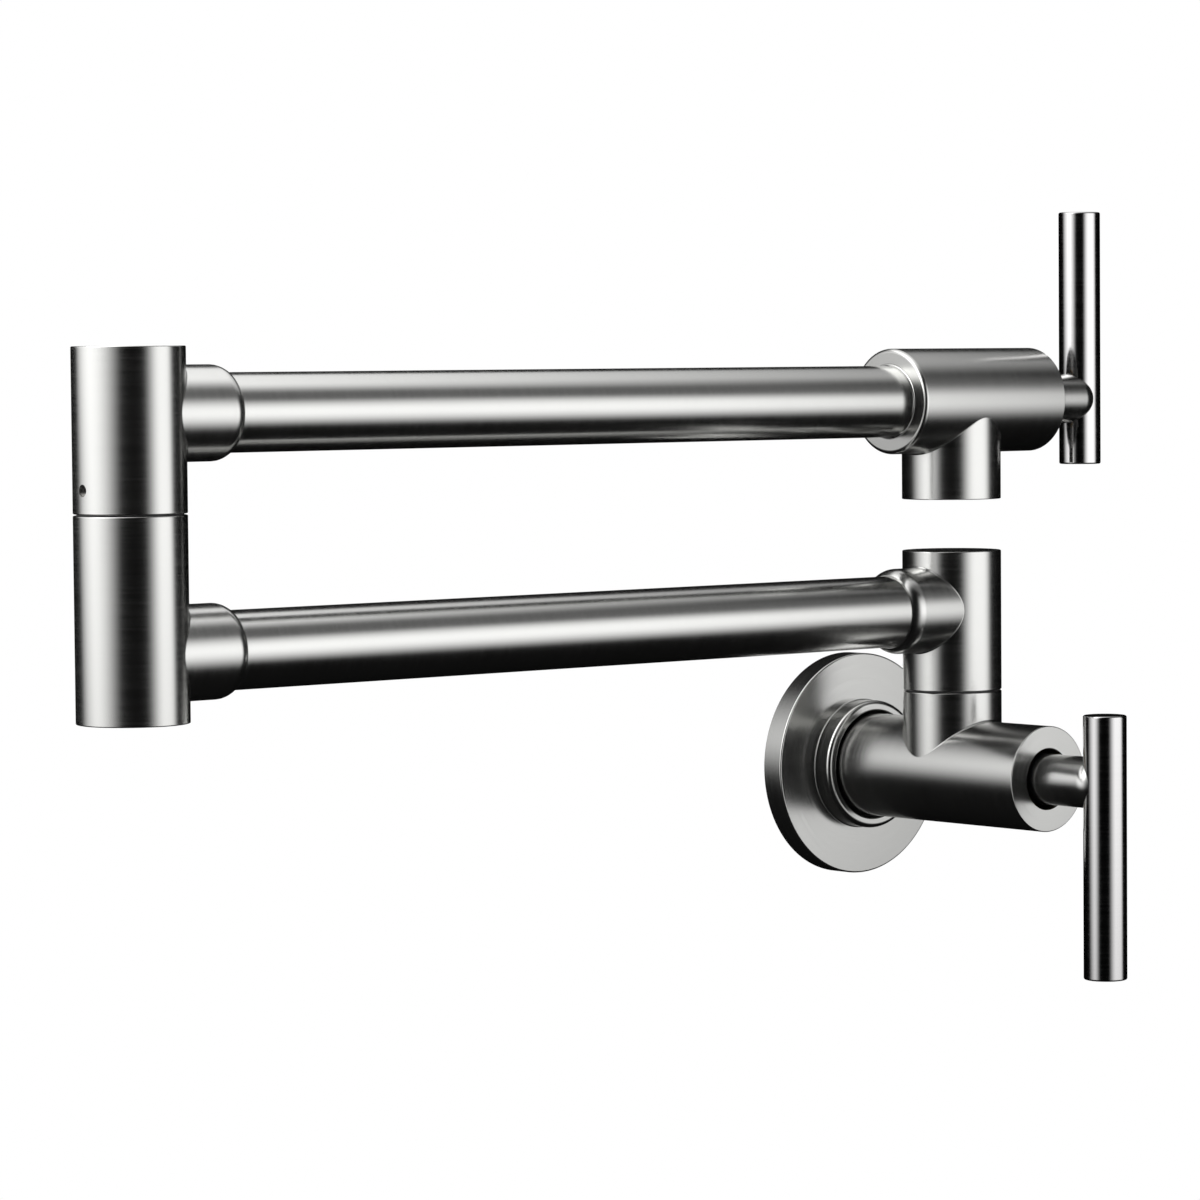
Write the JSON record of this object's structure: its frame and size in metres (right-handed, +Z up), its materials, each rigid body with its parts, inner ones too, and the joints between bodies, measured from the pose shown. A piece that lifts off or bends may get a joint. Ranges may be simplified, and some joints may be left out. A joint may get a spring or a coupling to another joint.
{
  "type": "wall-mounted folding kitchen tap",
  "caption": "Wall-mounted pot filler tap: folding double-jointed arm on a wall valve with round flange, outlet valve at the tip, bar handles, brushed nickel.",
  "frame": {"origin": "centre of the threaded inlet at the wall plane", "axes": "+Z up, +Y into the wall, so the tap stands out towards -Y; +X along the wall, to the right as seen from the room; the arms are folded along -X"},
  "size_m": [0.3558, 0.1095, 0.2134],
  "materials": {
    "brushed_nickel": "brushed nickel, satin",
    "handle_bar_nickel": "brushed nickel, finer and brighter",
    "brass": "turned, bare",
    "screw_steel": "stainless, plain",
    "seal_rubber": "moulded, matte",
    "seam_washer_ptfe": "filled PTFE, matte",
    "disc_ceramic": "lapped alumina",
    "aerator_plastic": "moulded"
  },
  "bodies": {
    "wall_unit": {"wall_flange": "brushed_nickel", "flange_gasket": "seal_rubber", "flange_seal_ring": "seal_rubber", "supply_valve_body": "brushed_nickel", "supply_cartridge_body": "brass", "supply_cartridge_seal_ring": "seal_rubber", "supply_seat_seal": "seal_rubber", "supply_fixed_disc": "disc_ceramic", "supply_bonnet": "brushed_nickel", "wall_spigot": "brass", "wall_spigot_seal_rings": "seal_rubber", "wall_seam_washer": "seam_washer_ptfe"},
    "supply_handle": {"supply_moving_disc": "disc_ceramic", "supply_spindle": "brass", "supply_spindle_seal_rings": "seal_rubber", "supply_spindle_clip": "screw_steel", "supply_handle_stem": "brushed_nickel", "supply_handle_bar": "handle_bar_nickel", "supply_handle_screw": "screw_steel"},
    "lower_arm": {"swivel_column": "brushed_nickel", "swivel_screw": "screw_steel", "lower_arm_tube": "brushed_nickel", "lower_elbow": "brushed_nickel", "elbow_spigot": "brass", "elbow_spigot_seal_rings": "seal_rubber", "elbow_seam_washer": "seam_washer_ptfe"},
    "upper_arm": {"upper_elbow": "brushed_nickel", "elbow_screw": "screw_steel", "upper_arm_tube": "brushed_nickel", "outlet_valve_body": "brushed_nickel", "outlet_cartridge_body": "brass", "outlet_cartridge_seal_ring": "seal_rubber", "outlet_seat_seal": "seal_rubber", "outlet_fixed_disc": "disc_ceramic", "outlet_bonnet": "brushed_nickel", "aerator_housing": "brushed_nickel", "aerator_insert": "aerator_plastic", "aerator_washer": "seal_rubber"},
    "outlet_handle": {"outlet_moving_disc": "disc_ceramic", "outlet_spindle": "brass", "outlet_spindle_seal_rings": "seal_rubber", "outlet_spindle_clip": "screw_steel", "outlet_handle_stem": "brushed_nickel", "outlet_handle_bar": "handle_bar_nickel", "outlet_handle_screw": "screw_steel"}
  },
  "joints": [
    {"name": "wall_swivel", "type": "hinge", "parent": "wall_unit", "child": "lower_arm", "pos_m": [0, -0.0445, 0.0235], "axis": [0, 0, 1], "range_deg": [0, 180]},
    {"name": "elbow_swivel", "type": "hinge", "parent": "lower_arm", "child": "upper_arm", "pos_m": [-0.28275, -0.0445, 0.0812], "axis": [0, 0, 1], "continuous": true},
    {"name": "supply_handle_turn", "type": "hinge", "parent": "wall_unit", "child": "supply_handle", "pos_m": [0, -0.082, 0], "axis": [0, -1, 0], "range_deg": [0, 90]},
    {"name": "outlet_handle_turn", "type": "hinge", "parent": "upper_arm", "child": "outlet_handle", "pos_m": [0.0315, -0.0445, 0.1054], "axis": [1, 0, 0], "range_deg": [0, 90]}
  ]
}
